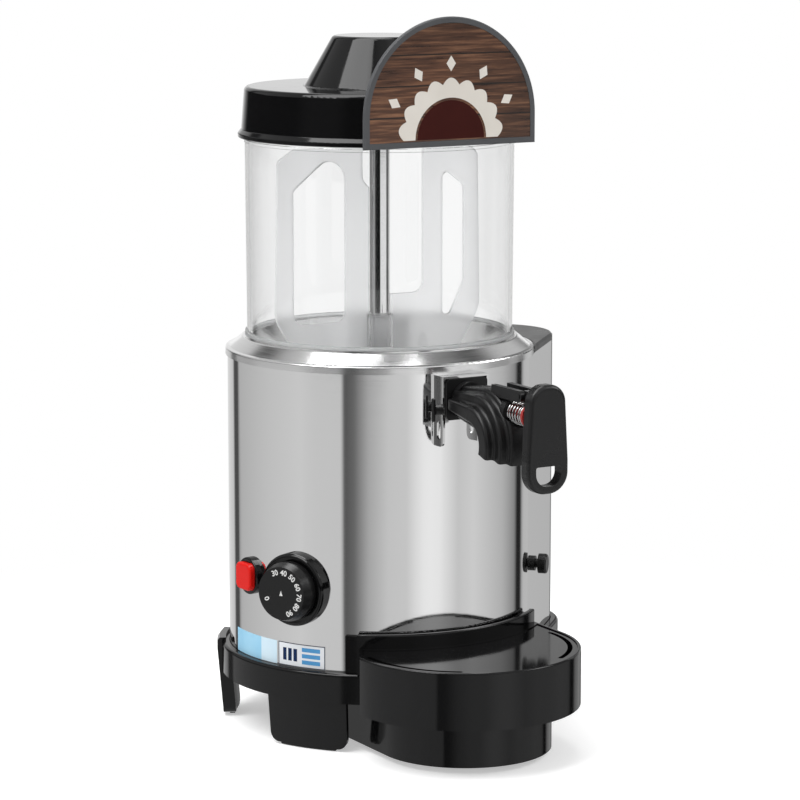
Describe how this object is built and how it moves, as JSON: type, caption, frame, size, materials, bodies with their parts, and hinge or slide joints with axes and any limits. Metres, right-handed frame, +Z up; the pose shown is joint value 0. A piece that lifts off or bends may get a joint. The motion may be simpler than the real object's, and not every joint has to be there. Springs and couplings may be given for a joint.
{
  "type": "hot drinks dispenser",
  "caption": "Counter-top hot drinks dispenser: clear stirred tank over a heated steel body, with a spring-closed lever tap, number dial, push-button and lift-out drip tray.",
  "frame": {"origin": "middle of the footprint's bounding box, on the table", "axes": "+Z up, -Y to the front where the tap and the drip tray are, +X to the machine's right as seen by someone facing its front from -Y"},
  "size_m": [0.2848, 0.3524, 0.5255],
  "materials": {
    "polished_steel": "polished stainless steel",
    "plain_steel": "plain stainless steel",
    "grey_metal": "satin grey",
    "brass": "plain",
    "black_gloss": "gloss black",
    "black_plastic": "satin black",
    "frosted_plastic": "frosted, translucent",
    "clear_tank": "clear moulded plastic",
    "grey_plastic": "satin grey",
    "brown_board": "printed, plain design",
    "red_plastic": "gloss red",
    "rubber": "matt",
    "pale_silicone": "translucent"
  },
  "bodies": {
    "body": {"base_frame": "black_gloss", "foot_pads": "rubber", "bottom_cover": "black_plastic", "cover_screws": "plain_steel", "outer_shell": "polished_steel", "side_duct_cap": "black_plastic", "top_deck": "polished_steel", "bowl": "plain_steel", "bath_pan": "plain_steel", "heater_ring": "plain_steel", "column": "polished_steel", "column_bushes": "brass", "motor_plate": "plain_steel", "gear_motor": "grey_metal", "tank_gasket": "pale_silicone", "thermostat_body": "plain_steel", "knob_bezel": "black_gloss", "button_bezel": "black_gloss", "switch_body": "black_plastic", "reset_collar": "black_plastic", "limiter_body": "black_plastic", "tap_body": "black_plastic", "tap_bracket": "polished_steel", "neck_seal": "rubber", "side_pins": "black_plastic", "lever_pin": "black_plastic", "tap_spring": "plain_steel"},
    "tank": {"tank": "clear_tank"},
    "lid": {"lid": "black_gloss", "panel_frame": "grey_plastic", "panel_board": "brown_board"},
    "stirrer": {"drive_shaft": "plain_steel", "drive_head": "plain_steel", "stirrer": "frosted_plastic"},
    "knob": {"thermostat_knob": "black_plastic"},
    "button": {"power_button": "red_plastic"},
    "reset": {"reset_button": "black_plastic"},
    "lever": {"tap_lever": "black_gloss"},
    "plunger": {"plunger": "red_plastic", "plunger_seal": "rubber"},
    "tray": {"drip_tray": "black_gloss", "tray_foot": "black_gloss"},
    "grille": {"drip_grille": "black_gloss"}
  },
  "joints": [
    {"name": "tank_lift", "type": "slide", "parent": "body", "child": "tank", "axis": [0, 0, 1], "range_m": [0, 0.18]},
    {"name": "lid_lift", "type": "slide", "parent": "tank", "child": "lid", "axis": [0, 0, 1], "range_m": [0, 0.1]},
    {"name": "stirrer_spin", "type": "hinge", "parent": "body", "child": "stirrer", "pos_m": [-0.01664, 0.05775, 0.3035], "axis": [0, 0, 1], "continuous": true},
    {"name": "knob_turn", "type": "hinge", "parent": "body", "child": "knob", "pos_m": [-0.11579, 0.00459, 0.1169], "axis": [0.8813, 0.4726, 0], "range_deg": [0, 270]},
    {"name": "button_press", "type": "slide", "parent": "body", "child": "button", "axis": [0.9969, 0.0785, 0], "range_m": [0, 0.0035], "stiffness_N_per_m": 900, "springref_m": -0.001},
    {"name": "reset_press", "type": "slide", "parent": "body", "child": "reset", "axis": [-0.7268, 0.6869, 0], "range_m": [0, 0.002], "stiffness_N_per_m": 900, "springref_m": -0.001},
    {"name": "lever_swing", "type": "hinge", "parent": "body", "child": "lever", "pos_m": [-0.01664, -0.14925, 0.271], "axis": [1, 0, 0], "range_deg": [0, 12], "stiffness_Nm_per_rad": 1.2, "springref_deg": -5.73},
    {"name": "plunger_slide", "type": "slide", "parent": "body", "child": "plunger", "axis": [0, 1, 0], "range_m": [0, 0.003], "deforming": ["tap_spring"]},
    {"name": "tray_slide", "type": "slide", "parent": "body", "child": "tray", "axis": [0, -1, 0], "range_m": [0, 0.12]},
    {"name": "grille_lift", "type": "slide", "parent": "tray", "child": "grille", "axis": [0, 0, 1], "range_m": [0, 0.05]}
  ],
  "couplings": [
    {"joint": "plunger_slide", "follows": "lever_swing", "m_per_rad": 0.0135}
  ]
}
